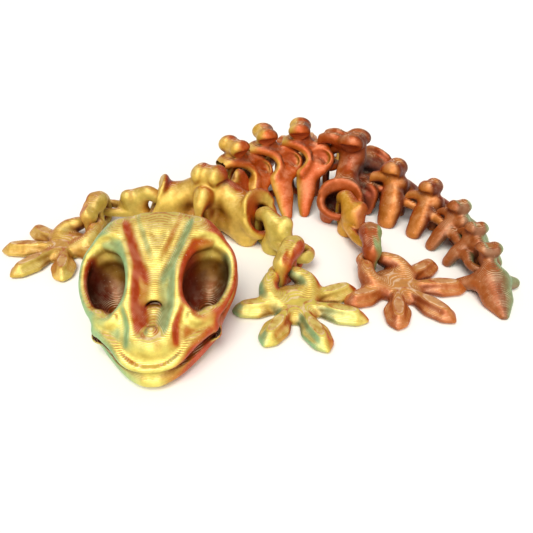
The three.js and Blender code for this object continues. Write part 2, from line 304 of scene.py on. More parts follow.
    def hollows(self, points, outward):
        """How much of the sky round each point is hidden by the clay, from 0 to 1."""
        origin = np.array([line[0] for line in self.lines])
        last = np.array(self.depth.shape) - 1
        hidden = np.zeros(len(points))
        total = np.zeros(len(points))
        count = 28
        for i in range(count):
            z = 1 - (2 * i + 1) / count
            angle = i * math.pi * (3 - math.sqrt(5))
            ray = np.array([math.sqrt(1 - z * z) * math.cos(angle), math.sqrt(1 - z * z) * math.sin(angle), z])
            facing = np.clip(outward @ ray, 0, 1)
            seen = np.ones(len(points))
            for reach in (1.0, 2.0, 3.5, 5.5, 8.0, 11.5, 16.0):
                spots = points + 0.3 * outward + reach * ray
                cells = np.rint((spots - origin) / self.cell).astype(int)
                away = ((cells < 0) | (cells > last)).any(1)
                cells = np.clip(cells, 0, last)
                value = self.depth[cells[:, 0], cells[:, 1], cells[:, 2]]
                seen = np.minimum(seen, np.where(away, 1, np.clip(0.5 + 2.5 * value / reach, 0, 1)))
            hidden += facing * (1 - seen)
            total += facing
        return hidden / np.maximum(total, 1e-3)

    def sample(self, field, points):
        """A field's value at points between the grid's."""
        base = [(points[:, i] - self.lines[i][0]) / self.cell for i in range(3)]
        cells = [np.clip(np.floor(b).astype(int), 0, len(line) - 2) for b, line in zip(base, self.lines)]
        parts = [np.clip(b - c, 0, 1) for b, c in zip(base, cells)]
        total = 0
        for i in (0, 1):
            for j in (0, 1):
                for k in (0, 1):
                    weight = 1
                    for part, corner in zip(parts, (i, j, k)):
                        weight = weight * (part if corner else 1 - part)
                    total = total + weight * field[cells[0] + i, cells[1] + j, cells[2] + k]
        return total

    def skin(self):
        """The clay's surface: points, four-sided faces, outward directions and how much sky each point has hidden,
        which paints shade into its colour.
        """
        depth = self.depth
        inside = depth < 0
        corners = [(i, j, k) for i in (0, 1) for j in (0, 1) for k in (0, 1)]
        nx, ny, nz = (n - 1 for n in depth.shape)
        count = sum(inside[i:nx + i, j:ny + j, k:nz + k].astype(np.int8) for i, j, k in corners)
        mixed = (count > 0) & (count < 8)
        number = np.full(mixed.shape, -1, np.int64)
        cells = np.argwhere(mixed)
        number[mixed] = np.arange(len(cells))
        values = np.stack([depth[cells[:, 0] + i, cells[:, 1] + j, cells[:, 2] + k] for i, j, k in corners], 1)
        total, hits = np.zeros((len(cells), 3)), np.zeros(len(cells))
        for a in range(8):
            for b in range(a + 1, 8):
                first, second = np.array(corners[a]), np.array(corners[b])
                if np.abs(first - second).sum() != 1:
                    continue
                va, vb = values[:, a], values[:, b]
                crossed = (va < 0) != (vb < 0)
                t = np.where(crossed, va / np.where(crossed, va - vb, 1), 0)
                spot = first + t[:, None] * (second - first)
                total += np.where(crossed[:, None], spot, 0)
                hits += crossed
        origin = np.array([line[0] for line in self.lines])
        points = origin + self.cell * (cells + total / hits[:, None])
        slopes = np.gradient(depth, self.cell)
        for _ in range(3):
            value = self.sample(depth, points)
            slope = np.stack([self.sample(s, points) for s in slopes], 1)
            size = np.maximum((slope ** 2).sum(1), 0.05)
            move = value[:, None] * slope / size[:, None]
            points -= np.clip(move, -0.3 * self.cell, 0.3 * self.cell)
        slope = np.stack([self.sample(s, points) for s in slopes], 1)
        outward = slope / np.maximum(np.linalg.norm(slope, axis=1), 1e-6)[:, None]
        faces = []
        for axis in range(3):
            others = [o for o in range(3) if o != axis]
            near = [slice(1, n) for n in (nx, ny, nz)]
            low = list(near)
            low[axis] = slice(0, (nx, ny, nz)[axis])
            high = list(near)
            high[axis] = slice(1, (nx, ny, nz)[axis] + 1)
            a, b = inside[tuple(low)], inside[tuple(high)]
            edges = np.argwhere(a != b)
            if not len(edges):
                continue
            leaving = a[tuple(edges.T)]
            edges = edges + [0 if i == axis else 1 for i in range(3)]
            ring = []
            for du, dv in ((-1, -1), (0, -1), (0, 0), (-1, 0)):
                cell = edges.copy()
                cell[:, others[0]] += du
                cell[:, others[1]] += dv
                ring.append(number[tuple(cell.T)])
            quad = np.stack(ring, 1)
            flip = leaving if axis != 1 else ~leaving
            quad[~flip] = quad[~flip][:, ::-1]
            faces.append(quad)
        # how much sky each point has hidden, later painted into the colour as shade
        shade = self.hollows(points, outward)
        return points, np.vstack(faces), outward, shade


def srgb(code):
    """A linear colour from an sRGB hex code."""
    values = [int(code[i:i + 2], 16) / 255 for i in (1, 3, 5)]
    return np.array([v / 12.92 if v <= 0.04045 else ((v + 0.055) / 1.055) ** 2.4 for v in values])


# What the three threads of colour in the filament look like on each face of a link, by the way that face looked while
# it was printed: front, rear, left, right and up.
# The dark rear colours of the chained links are the copper thread with painted shade, where each faces the link behind
# it.
FILAMENT_AND_SHADE = {
    "skull": ("#dfd272", "#b08a4a", "#c24616", "#93bb84", "#dac472"),
    "collar": ("#dcbc60", "#6c3018", "#b0441c", "#c8a050", "#c8803e"),
    "trunk": ("#dcb258", "#643018", "#be5c30", "#a48c48", "#c87c4a"),
    "hip": ("#b8703e", "#663018", "#ae5628", "#9c7c40", "#b06c40"),
    "tail": ("#b45426", "#6c3018", "#c27c40", "#a8542a", "#b46a38"),
    "tail_end": ("#b46434", "#84583c", "#b0683a", "#84a474", "#b47848"),
    "arm": ("#dcc464", "#dcc86a", "#d4c062", "#bc4c20", "#d8bc68"),
    "forefoot": ("#dccc6c", "#e0d070", "#90bc88", "#cc4818", "#dcc86a"),
    "far_arm": ("#d4a858", "#d8b460", "#b45a2c", "#ccb45c", "#d0a05c"),
    "leg": ("#c0703a", "#b4683a", "#d8a648", "#ac4820", "#c48a4c"),
    "far_leg": ("#c07440", "#a86034", "#b46034", "#c49a50", "#c08450"),
    "shin": ("#b8683a", "#ac5c34", "#9c441e", "#88a86c", "#b27448"),
    "hindfoot": ("#c87c48", "#c07644", "#a4603c", "#b85c30", "#cc9058"),
}


def filament_colour_and_shade(outward, shade, code):
    """The colour of each point from the way that it faces on its link, with painted shade in the hollows."""
    front, rear, left, right, up = (srgb(c) for c in FILAMENT_AND_SHADE[code])
    x, y, z = outward.T
    level = np.hypot(x, y)
    x, y = x / np.maximum(level, 1e-3), y / np.maximum(level, 1e-3)
    start, full = (0.34, 0.8) if code == "skull" else (0.72, 1.0)
    turning = np.clip((np.abs(y) - start) / (full - start), 0, 1)
    aside = np.where(x < 0, turning, np.clip(np.abs(y) * 1.3 - 0.2, 0, 1) ** 1.2)
    ends = np.where((x < 0)[:, None], front, rear)
    sides = np.where((y < 0)[:, None], left, right)
    wheel = ends + aside[:, None] * (sides - ends)
    gentle = {"skull": 0.26, "forefoot": 0.42, "hindfoot": 0.42}.get(code, 0.12)
    steep = np.clip((level - gentle) / 0.3, 0, 1)[:, None]
    colours = up + steep * (wheel - up)
    # painted shade: darker and warmer where the clay hides more of the sky
    painted_shade = np.clip(shade * 1.55 - 0.1, 0, 0.93)[:, None]
    return colours * (1 - painted_shade) ** np.array([1.1, 1.7, 2.1])


def node(tree, kind, inputs=None, links=None, **settings):
    """Adds a node with its settings, its constants and what feeds it."""
    made = tree.nodes.new(kind)
    for name, value in settings.items():
        setattr(made, name, value)
    for name, value in (inputs or {}).items():
        made.inputs[name].default_value = value
    for name, source in (links or {}).items():
        tree.links.new(source, made.inputs[name])
    return made


def colour_setting(label, about, code):
    """A colour that the user can change, from its sRGB hex code."""
    return bpy.props.FloatVectorProperty(
        name=label, description=about, subtype="COLOR", size=4, min=0, max=1, default=(*srgb(code), 1.0))


# Silk PLA gives the eye a pearly sheen that is broad on the round parts, fine rings where the
# layers cross a slope, the light ones painted highlights, small bright flecks painted as glints, and painted shade,
# deep and warm, in the hollows.
def silk_filament(name, sizes):
    """Silk-finish printed plastic: smooth and glossy along the layers, ribbed across them."""
    made = bpy.data.materials.new(name)
    made.use_nodes = True
    tree = made.node_tree
    tree.nodes.clear()
    # the filament's colour from the mesh, with painted shade in the hollows
    colour = node(tree, "ShaderNodeAttribute", attribute_name="filament")
    place = node(tree, "ShaderNodeTexCoord").outputs["Object"]
    mottle = node(tree, "ShaderNodeTexNoise", {"Scale": 240.0, "Detail": 4.0, "Roughness": 0.65},
                  {"Vector": place})
    glint_noise = node(tree, "ShaderNodeTexNoise", {"Scale": 2200.0, "Detail": 1.0}, {"Vector": place})
    height = node(tree, "ShaderNodeSeparateXYZ", links={"Vector": place}).outputs["Z"]
    wobble = node(tree, "ShaderNodeMath", {1: 0.00006}, {0: mottle.outputs["Fac"]}, operation="MULTIPLY")
    level = node(tree, "ShaderNodeMath", links={0: height, 1: wobble.outputs[0]}, operation="ADD")
    turns = node(tree, "ShaderNodeMath", {1: 2 * math.pi / sizes.layer}, {0: level.outputs[0]}, operation="MULTIPLY")
    ridge = node(tree, "ShaderNodeMath", links={0: turns.outputs[0]}, operation="SINE")
    edge = node(tree, "ShaderNodeMapRange", {"From Min": 0.1, "From Max": 0.9}, {"Value": ridge.outputs[0]})
    gentle = node(tree, "ShaderNodeMapRange", {"From Min": 0.3, "From Max": 0.97, "To Min": 0.08, "To Max": 0.6},
                  {"Value": colour.outputs["Alpha"]})
    line = node(tree, "ShaderNodeMath", links={0: edge.outputs[0], 1: gentle.outputs[0]}, operation="MULTIPLY")
    patchy = node(tree, "ShaderNodeMapRange", {"From Min": 0.3, "From Max": 0.7, "To Min": 0.8, "To Max": 1.15},
                  {"Value": mottle.outputs["Fac"]})
    base = node(tree, "ShaderNodeHueSaturation", {"Saturation": 1.07},
                {"Color": colour.outputs["Color"], "Value": patchy.outputs[0]})
    # the layer rings: over each patch that the noise picks they take the dark copper colour or the light one, which is
    # a painted highlight along the layer edges
    tint = node(tree, "ShaderNodeMapRange", {"From Min": 0.42, "From Max": 0.6}, {"Value": mottle.outputs["Fac"]})
    edging = node(tree, "ShaderNodeMix", links={"Factor": tint.outputs[0]}, data_type="RGBA")
    edging.inputs[6].default_value = sizes.line_dark
    edging.inputs[7].default_value = sizes.line_highlight
    lined = node(tree, "ShaderNodeMix", links={"Factor": line.outputs[0], 6: base.outputs[0], 7: edging.outputs[2]},
                 data_type="RGBA")
    # painted glints: small near-white flecks mixed into the colour where the fine noise peaks, standing in for the
    # silk's sparkle
    glint_spots = node(tree, "ShaderNodeMapRange", {"From Min": 0.74, "From Max": 0.8, "To Min": 0.0, "To Max": 0.8},
                 {"Value": glint_noise.outputs["Fac"]})
    painted_glints = node(tree, "ShaderNodeMix", links={"Factor": glint_spots.outputs[0], 6: lined.outputs[2]}, data_type="RGBA")
    painted_glints.inputs[7].default_value = sizes.painted_glints
    bump = node(tree, "ShaderNodeBump", {"Strength": 0.4, "Distance": 0.00006}, {"Height": ridge.outputs[0]})
    shader = node(tree, "ShaderNodeBsdfPrincipled", {"Roughness": sizes.roughness, "IOR": 1.46, "Metallic": 0.35,
                                                     "Coat Weight": 0.05, "Coat Roughness": 0.25},
                  {"Base Color": painted_glints.outputs[2], "Normal": bump.outputs["Normal"]})
    node(tree, "ShaderNodeOutputMaterial", links={"Surface": shader.outputs["BSDF"]})
    return made


def front_loop(clay, top, length, thick=BAR, hood=1.4):
    """The upright loop at the front of a link: its front leg stands on the link's axis."""
    drop = min(3.4, top * 0.2)
    clay.rod([
        (length, 0, top - drop * 0.6), (length * 0.6, 0, top), (length * 0.22, 0, top - drop * 0.45),
        (0, 0, top - drop * 1.5), (0, 0, 3.2), (length * 0.3, 0, BAR - 0.2), (length, 0, BAR + 0.1),
    ], [thick * hood, thick * hood, thick * 1.2, BAR, BAR, BAR, BAR])


def level_ring(clay, start, height, axis=0.0, root=None, spread=LINK_REACH, toward=1):
    """A level ring, half round about the axis of the link that hangs in it."""
    root = height if root is None else root
    bow = LINK_REACH * math.sqrt(0.5)
    clay.rod([
        (start, -spread, root), (axis, -LINK_REACH, height), (axis + toward * bow, -bow, height),
        (axis + toward * LINK_REACH, 0, height), (axis + toward * bow, bow, height),
        (axis, LINK_REACH, height), (start, spread, root),
    ], [BAR * 1.4, BAR, BAR, BAR, BAR, BAR, BAR * 1.4], blend=0.8)


def crest(clay, x, top, apart, size, foot):
    """The crest on top of a link: two pads with a groove between them, scooped underneath, on a stem."""
    long, half, high = size
    clay.pads((x, apart, top - high), (long, half, high), (12, 0, 0), blend=1.2)
    clay.rod([(x - 0.2, -apart, top - high * 1.1), (x - 0.2, apart, top - high * 1.1)],
             [high * 0.95, high * 0.95], flat=0.9, wide=(1, 0, 0), blend=1.4)
    low = top - high * 1.95
    clay.both([(x - long, apart + half * 1.1, low), (x + long * 1.1, apart + half * 1.1, low + 0.6)],
              [half * 0.95, half * 0.95], blend=0.6, cut=True)
    clay.rod([(x + 0.6, 0, top - high * 1.4), (x + 0.8, 0, foot)], [long * 0.84, long * 0.88],
             flat=0.66, wide=(1, 0, 0), blend=1.6)
    for aside in (-0.5, 0.45):
        clay.rod([(x - long, aside * apart, top + 0.5), (x + long, aside * apart * 0.6, top + 0.5)], [1.0, 0.9],
                 blend=0.8, cut=True)


def trunk_link(clay, height, span, pitch, bar, **_):
    front_loop(clay, height - 10.4, 9.4, 1.9, 1.5)
    clay.rod([(10.4, 0, 1.8), (10.4, 0, height - 16)], [2.6, 3.0], blend=1.5)
    crest(clay, 2.8, height, 4.0, (4.9, 3.5, 3.6), height - 9.6)
    level_ring(clay, 13, bar, axis=pitch, root=height - 15.5, spread=5)
    # the hood reaches forward over the link before it, and its arches frame a round gap on each side
    clay.rod([(4, 0, height - 9), (-0.6, 0, height - 9), (-3.8, 0, height - 10)], [4.2, 4.2, 3.0],
             flat=0.42, wide=(0, 1, 0), blend=1.4)
    clay.both([(-4.0, 2.2, height - 10.3), (-1, 3.4, height - 9.6), (2.7, 4.3, height - 10.2),
               (6.2, 5.5, height - 12), (8.0, 7.6, height - 14.9), (7.0, 9.8, height - 17.6),
               (4.8, 11.6, height - 20)], [1.5, 1.8, 1.9, 1.9, 1.7, 1.9, 2.4], blend=1.2)
    # the dish behind it, inside a raised edge
    clay.both([(12.2, 3.6, height - 12.6), (13.0, 5.8, height - 15.4), (11.2, 8.4, height - 18)],
              [5.0, 5.0, 4.4], flat=0.32, wide=(1, 0, 0), blend=1.2)
    clay.both([(6.4, 3.4, height - 11.6), (12, 3.8, height - 12.8), (17.0, 4.7, height - 14.2),
               (16.8, 6.8, height - 16.4), (14.2, 9.6, height - 19)], [2.2, 1.6, 1.7, 1.8, 1.9], blend=1.0)
    clay.egg((12.9, 7.0, height - 13.9), (4.2, 3.6, 1.6), (1, 0, -0.35), (0, 0.7, 0.7), blend=0.8, cut=True)
    # the plate that tapers to the bed
    clay.both([(10.6, 8.6, height - 18.6), (7.3, span * 0.475, height * 0.374), (7.4, span * 0.63, height * 0.255),
               (7.0, span * 0.78, height * 0.145), (7, span - 2.9, 2)],
              [4.4, 4.8, 4.2, 3.3, 2.4], flat=0.5, wide=(1, 0, 0.1), blend=1.6)


def tail_link(clay, height, span, pitch, bar, **_):
    size = height / 26.5
    plump = 1.0 if height > 21 else 0.92
    top = height - 1.8 * size
    roof = max(height - 9.6, height * 0.56)
    front_loop(clay, roof, 7.4, 1.7)
    clay.rod([(8.2, 0, 1.6), (7.4, 0, height * 0.55)], [2.5, 3.0], blend=1.5)
    crest(clay, 3.2, top, 2.6 * size, (4.6 * size, 3.3 * size, 4.0 * size), roof - 2)
    level_ring(clay, 9.6, bar, axis=pitch, root=bar + 1)
    # a short hood reaches forward over the link before it
    clay.rod([(3, 0, roof), (-1.4, 0, roof - 0.2), (-3.6, 0, roof - 1.4)], [3.6 * size, 3.4 * size, 2.4 * size],
             flat=0.5, wide=(0, 1, 0), blend=1.4)
    clay.both([(3, 2.2, roof + 0.6), (-2, 3.6 * size, roof + 0.2), (-6.0 * size, 4.8 * size, roof - 1.4),
               (-7.6 * size, 5.2 * size, roof - 3)], [2.6 * size, 2.3 * size, 2.0 * size, 1.6 * size], blend=1.4)
    # the ribs: broad paddles that stand on the bed
    clay.both([(3.9, 1.4, height * 0.56), (6.2 * size, span * 0.3, height * 0.42),
               (8 * size, span * 0.5, height * 0.27), (8.8 * size, span * 0.66, 2.6 * size)],
              [3.9 * size, 4.8 * size * plump, 5.4 * size * plump, 4.5 * size * plump],
              flat=0.7, wide=(1, 0, 0.2), blend=2.0)
    clay.both([(3.0, 3.6, height * 0.34), (2.6, span * 0.56, height * 0.18)], [1.4 * size, 1.8 * size],
              blend=1.6, cut=True)


def tail_leaf(clay, **_):
    front_loop(clay, 9.6, 7.4, 1.6)
    crest(clay, 3.4, 16, 2.2, (3.5, 2.6, 2.6), 8.5)
    clay.rod([(8.2, 0, 9), (12, 0, 5.6), (18, 0, 2.8), (25, 0, 1.2)], [2.6, 6.2, 5.4, 2.0],
             flat=0.7, wide=(0, 1, 0), blend=2.0)
    clay.both([(10.2, 2, 4.6), (8.2, 9.8, 2.2)], [3.6, 2.1], blend=2.5)


RIM_TILT = 60.0
RIM_SHOULDER = {"turn": -25, "wall": 3.4, "height": 11.6, "long": 7.5, "tall": 7.5}
RIM_HIP = {"turn": 23, "wall": 2.6, "height": 10.6, "long": 8.2, "tall": 6.4}


def socket_cup(clay, x, turn, wall, height, long, tall):
    """A limb socket: a cup with a round rim that carries the limb. It opens outwards and up, turned a little."""
    lean, bearing = math.radians(RIM_TILT), math.radians(turn)
    aside = np.array([math.sin(bearing), math.cos(bearing), 0])
    along = np.array([math.cos(bearing), -math.sin(bearing), 0])
    drop = np.array([0, 0, 1])
    normal = aside * math.sin(lean) + drop * math.cos(lean)
    middle = np.array([x, SOCKET_REACH, height]) + aside * (LINK_REACH - tall * math.cos(lean))

    def above(distance):
        return middle + distance * normal

    clay.egg(above(-3), (long + 1.7, tall + 1.3, 8.4), along, normal, blend=2.0)
    clay.both([middle - 8 * aside + drop * 1.5, middle - 2.6 * aside + drop * 4], [6.0, wall], blend=3)
    low = middle - 3.0 * aside
    low[2] = 2.4
    clay.both([low - 4 * along, low + 4 * along], [4.4, 4.4], blend=2.4)
    clay.egg(above(6.4), (14, 14, 6.2), along, normal, blend=0.8, cut=True)
    clay.egg(above(-0.6), (long - 1.3, tall - 1.3, 6.6), along, normal, blend=1.2, cut=True)
    clay.both([(x, SOCKET_REACH - 0.2, 12), (x, SOCKET_REACH + 0.2, 5), (x, SOCKET_REACH + 0.6, -4)],
              [2.9, 2.9, 3.2], blend=0.8, cut=True)
    for side in (-1, 1):
        turns, radii = [], []
        for i in range(17):
            angle = 2 * math.pi * i / 16
            spot = middle + long * math.cos(angle) * along
            spot = spot - tall * math.sin(angle) * (math.sin(lean) * drop - math.cos(lean) * aside)
            turns.append((spot[0], side * spot[1], spot[2]))
            radii.append(BAR + 0.2 * (1 - math.sin(angle)))
        clay.rod(turns, radii, blend=1.4)
        # the lower part of the rim is a deeper bar, which the limb's loop hangs on
        lower = [(px, py + side * 0.5, pz + 1.7) for px, py, pz in turns[9:16]]
        clay.rod(lower, [2.0, 2.6, 2.7, 2.7, 2.7, 2.6, 2.0], flat=0.6, wide=(0, 0, 1), blend=1.0)


def girdle(clay, pitch, height, knob, socket, bar, heading, **_):
    if knob < 12.2:
        shoulder_girdle(clay, pitch, height, knob, socket, bar)
    else:
        hip_girdle(clay, pitch, height, knob, socket, bar)


def shoulder_girdle(clay, pitch, height, knob, socket, bar):
    socket_cup(clay, socket, **RIM_SHOULDER)
    front_loop(clay, height - 11, knob - 2.4, 2.4, 1.8)
    clay.rod([(knob, 0, 1.8), (knob, 0, height - 9)], [4.2, 4.8], blend=2)
    clay.rod([(knob - 1, 0, height * 0.5), (knob + 7, 0, height * 0.4)], [4.8, 3.6], blend=2)
    crest(clay, knob - 0.2, height, 3.5, (6.0, 3.5, 4.3), height - 10)
    # a web fills the side of the loop up to the column
    clay.rod([(knob - 4.4, 0, height - 14), (knob - 3, 0, 4)], [4.6, 4.6], flat=0.7, wide=(1, 0, 0), blend=2)
    level_ring(clay, knob + 7, bar, axis=pitch)
    # the shoulders slope without a break from the crest to the sockets
    clay.both([(knob + 1.4, 2, height * 0.66), (knob + 0.4, 8, height * 0.56), (socket + 0.2, 15, 13)],
              [6.2, 6.6, 6.4], flat=0.86, wide=(1, 0, 0), blend=3)
    clay.both([(knob + 2, 3, 7), (socket, 14, 6)], [6.0, 6.4], flat=0.9, wide=(1, 0, 0), blend=3)
    # the rear plates reach up into the hood of the next link
    clay.both([(29.2, 6.2, 17.0), (28.8, 7.6, 12.6), (26.6, 9.6, 8), (24.5, 11, 4)], [4.4, 5.4, 5.0, 3.6],
              flat=0.42, wide=(1, 0, 0), blend=1.8)
    clay.both([(24, 4.6, 15), (28.8, 5.6, 19.0), (32.0, 6.4, 17.6), (32.4, 8, 13), (29, 10.6, 7)],
              [2.2, 1.5, 1.5, 1.7, 1.7], blend=1.2)
    clay.both([(knob + 3, 3, height * 0.5), (knob + 12, 6, height * 0.42)], [5.4, 4.4], flat=0.7,
              wide=(0, 0, 1), blend=2)


def hip_girdle(clay, pitch, height, knob, socket, bar):
    socket_cup(clay, socket, **RIM_HIP)
    front_loop(clay, height - 8, knob - 2.4, 2.0, 1.3)
    clay.rod([(knob, 0, 1.8), (knob - 1, 0, height * 0.5)], [4.4, 4.6], blend=2)
    clay.rod([(10.4, 0, 12), (11, 0, height - 8)], [5.4, 5.0], flat=0.78, wide=(1, 0, 0), blend=2)
    crest(clay, knob - 0.7, height, 4.3, (5.7, 3.7, 3.8), height - 11)
    # the hood: a thick arm on each side that reaches forward over the trunk's last dish
    clay.both([(8, 1.8, height - 5.6), (2, 2.8, height - 3.6), (-2.4, 3.2, height - 4.6), (-4.4, 3.4, height - 6.2)],
              [2.6, 2.5, 2.2, 1.9], blend=1.6)
    clay.rod([(7, 0, height - 6), (0, 0, height - 4.8), (-3, 0, height - 5.4)], [3.4, 3.4, 3.0], flat=0.5,
             wide=(0, 1, 0), blend=1.6)
    level_ring(clay, knob + 7, bar, axis=pitch)
    clay.both([(knob - 1, 2, height * 0.62), (knob, 8, height * 0.5), (socket - 0.4, 14, 14)], [5.2, 5.0, 5.4],
              flat=0.7, wide=(1, 0, 0), blend=2.4)
    clay.both([(knob + 1, 2, height * 0.26), (socket, 11.5, 6)], [5, 4.8], wide=(1, 0, 0), blend=3)
    # the rear plates stand beside the tail's first link
    clay.both([(17, 3, 11), (22.8, 7.2, 9.8), (23.6, 8.6, 3)], [4.4, 4.0, 2.8], flat=0.5, wide=(1, 0, 0.2), blend=2)
    clay.both([(19, 4.4, 11.6), (23.6, 6.6, 12.4), (26.0, 7.4, 10.4), (25.6, 8.4, 5)], [1.8, 1.5, 1.5, 1.5], blend=1.2)


def neck_link(clay, pitch, **_):
    front_loop(clay, 11.5, 9)
    clay.rod([(10.5, 0, 1.8), (11, 0, 10)], [3, 3], blend=1.5)
    clay.rod([(12, 0, 9), (17, 0, 8)], [3.4, 2.6], blend=1.5)
    level_ring(clay, 16, 7.6, axis=pitch)
    clay.both([(12, 0, 9), (13, 6.2, 7.5)], [3.0, 2.4], blend=2)


def upper_limb(clay, length, **_):
    front_loop(clay, 14.6, 9, 2.3, 1.35)
    clay.rod([(9.4, 0, 12), (12.8, 0, 10), (16.5, 0, 7)], [4.0, 5.2, 3.2], flat=0.86, wide=(0, 0, 1), blend=2)
    clay.rod([(11, 0, 9.4), (9.8, 0, 5), (9.0, 0, 2)], [4.2, 4.6, 5.2], flat=0.86, wide=(1, 0, 0), blend=2)
    clay.ball((13.4, 2.2, 13.0), (3.2, 3.0, 3.2), blend=1.2)
    level_ring(clay, 12.6, RING_LEVEL, axis=length, spread=2.4)
    clay.rod([(length - 1, -3.9, 6.2), (length + 2.8, -2.8, 6.4), (length + 4.1, 0, 6.4), (length + 2.8, 2.8, 6.4),
              (length - 1, 3.9, 6.2)], [1.6, 2.2, 2.7, 2.2, 1.6], flat=0.58, wide=(0, 0, 1), blend=0.8)


def lower_limb(clay, length, **_):
    top, middle = 12.8, length / 2
    front_loop(clay, top, middle, 1.7)
    clay.rod([(middle, 0, 1.8), (middle, 0, 8.6), (middle, 0, top)], [1.8, 2.0, 3.6], blend=1.6)
    clay.rod([(middle, 0, top - 0.4), (length * 0.8, 0, top - 0.6), (length - 0.2, 0, top - 2.6)],
             [3.6, 3.5, 3.0], blend=1.4)
    clay.rod([(length, 0, top - 2.4), (length, 0, 9.8), (length, 0, 7.6), (length, 0, 3.4),
              (length * 0.85, 0, BAR - 0.1), (middle, 0, BAR)], [3.5, 3.3, 2.0, 1.8, BAR, 1.8], blend=1.0)
    clay.rod([(length + 0.6, 0, 9), (length + 1.0, 0, 3)], [2.3, 1.8], blend=1.2)
    clay.ball((middle - 0.8, 0, top + 0.4), (4.7, 4.2, 3.4), blend=1.2)
    clay.both([(middle - 7, 3.0, top + 5.0), (middle + 1.6, 0.6, top + 4.6), (length + 3, 3.4, top + 1)],
              [1.6, 1.2, 1.8], blend=1.6, cut=True)


def foot(clay, aside):
    clay.rod([(11.0, 0, 2.0), (HEEL_TO_HUB + 2.4, 0, 1.7)], [7.6, 7.2], flat=0.42, wide=(0, 1, 0), blend=1.6)
    for angle, reach in TOES:
        out = turned(angle * aside)
        side = np.array([-out[1], out[0]])

        def at(part, z, off=0.0):
            run = part * reach
            return (HEEL_TO_HUB + run * out[0] + off * side[0], run * out[1] + off * side[1], z)

        clay.rod([at(0.1, 1.5), at(0.4, 1.5), at(0.62, 1.7), at(0.8, 1.6), at(0.94, 1.3)],
                 [2.6, 3.0, 4.7, 3.9, 1.4], flat=0.5, wide=(*side, 0), blend=1.0)
        clay.rod([at(0.1, 2.6), at(0.42, 3.4), at(0.6, 3.9), at(0.8, 3.4), at(0.92, 1.9)],
                 [1.8, 1.9, 2.5, 2.1, 1.0], flat=0.8, wide=(*side, 0), blend=1.0)
        for off in (-1, 1):
            clay.rod([at(0.48, 5.0, 4.3 * off), at(0.64, 4.8, 4.6 * off), at(0.8, 4.4, 3.7 * off)],
                     [1.8, 2.3, 1.6], blend=0.8, cut=True)
    clay.planed(4.9)
    level_ring(clay, 2.4, RING_LEVEL, toward=-1, spread=4.6)
    clay.both([(2.0, 4.9, 6.0), (5.4, 7.0, 5.2), (8.8, 7.4, 3.8), (12.6, 5.6, 2.4)], [2.5, 3.3, 3.6, 3.0], blend=2.0)
    clay.rod([(10.4, -6, 3.0), (9.6, 0, 2.8), (10.4, 6, 3.0)], [2.4, 2.2, 2.4], blend=2.0)


# Skull stations from snout to crown: place, half width, top and underside
STATIONS = (
    (0.05, 0.6, 3.6, 2), (0.075, 5.4, 8.2, 0), (0.12, 9.8, 12.8, -1.5), (0.35, 19, 19.5, -1.5),
    (0.52, 23.6, 25, -1.5), (0.68, 25.2, 29.6, -1.5), (0.86, 23.5, 32.6, -1.5), (0.965, 16.5, 31.6, 4),
    (1, 0.4, 20, 19.6),
)


